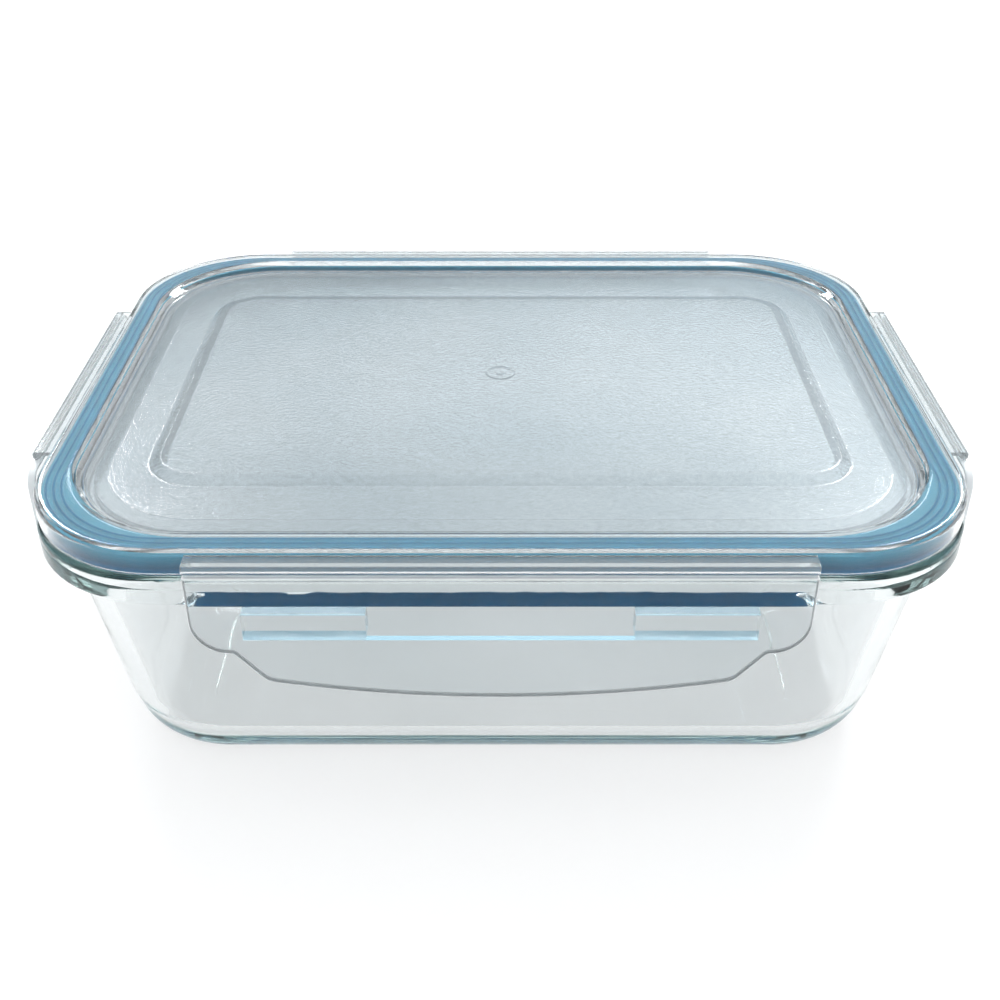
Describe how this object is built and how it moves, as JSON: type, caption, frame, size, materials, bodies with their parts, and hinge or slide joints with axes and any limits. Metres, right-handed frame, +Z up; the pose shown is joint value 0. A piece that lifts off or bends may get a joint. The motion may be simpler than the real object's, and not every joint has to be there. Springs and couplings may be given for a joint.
{
  "type": "glass food storage container",
  "caption": "Rectangular pressed-glass food container with a translucent snap-down lid, a blue silicone seal ring and hinged side clips.",
  "frame": {"origin": "centre of the footprint, on the plane the glass foot stands on", "axes": "+X along the length, +Y towards the back long side, +Z up"},
  "size_m": [0.2124, 0.1662, 0.068],
  "materials": {
    "glass": "clear pressed glass, fire-polished, faint green-grey at the edges",
    "lid_plastic": "translucent polypropylene, smooth outside, finely textured on the lowered panel",
    "clip_plastic": "clear translucent polypropylene, smooth",
    "silicone": "soft matte blue silicone"
  },
  "bodies": {
    "base": {"glass_base": "glass"},
    "lid": {"lid": "lid_plastic", "gasket": "silicone", "front_hinge_film": "lid_plastic", "back_hinge_film": "lid_plastic", "left_hinge_film": "lid_plastic", "right_hinge_film": "lid_plastic"},
    "front_clip": {"front_clip": "clip_plastic"},
    "back_clip": {"back_clip": "clip_plastic"},
    "left_clip": {"left_clip": "clip_plastic"},
    "right_clip": {"right_clip": "clip_plastic"}
  },
  "joints": [
    {"name": "lid_lift", "type": "slide", "parent": "base", "child": "lid", "axis": [0, 0, 1], "range_m": [0, 0.018]},
    {"name": "front_clip_hinge", "type": "hinge", "parent": "lid", "child": "front_clip", "pos_m": [0, -0.08075, 0.0649], "axis": [-1, 0, 0], "range_deg": [0, 110], "deforming": ["front_hinge_film"]},
    {"name": "back_clip_hinge", "type": "hinge", "parent": "lid", "child": "back_clip", "pos_m": [0, 0.08075, 0.0649], "axis": [1, 0, 0], "range_deg": [0, 110], "deforming": ["back_hinge_film"]},
    {"name": "left_clip_hinge", "type": "hinge", "parent": "lid", "child": "left_clip", "pos_m": [-0.1039, 0, 0.0649], "axis": [0, 1, 0], "range_deg": [0, 110], "deforming": ["left_hinge_film"]},
    {"name": "right_clip_hinge", "type": "hinge", "parent": "lid", "child": "right_clip", "pos_m": [0.1039, 0, 0.0649], "axis": [0, -1, 0], "range_deg": [0, 110], "deforming": ["right_hinge_film"]}
  ],
  "couplings": [
    {"joint": "front_clip_hinge", "follows": "lid_lift", "rad_per_m": 106.6},
    {"joint": "back_clip_hinge", "follows": "lid_lift", "rad_per_m": 106.6},
    {"joint": "left_clip_hinge", "follows": "lid_lift", "rad_per_m": 106.6},
    {"joint": "right_clip_hinge", "follows": "lid_lift", "rad_per_m": 106.6}
  ]
}
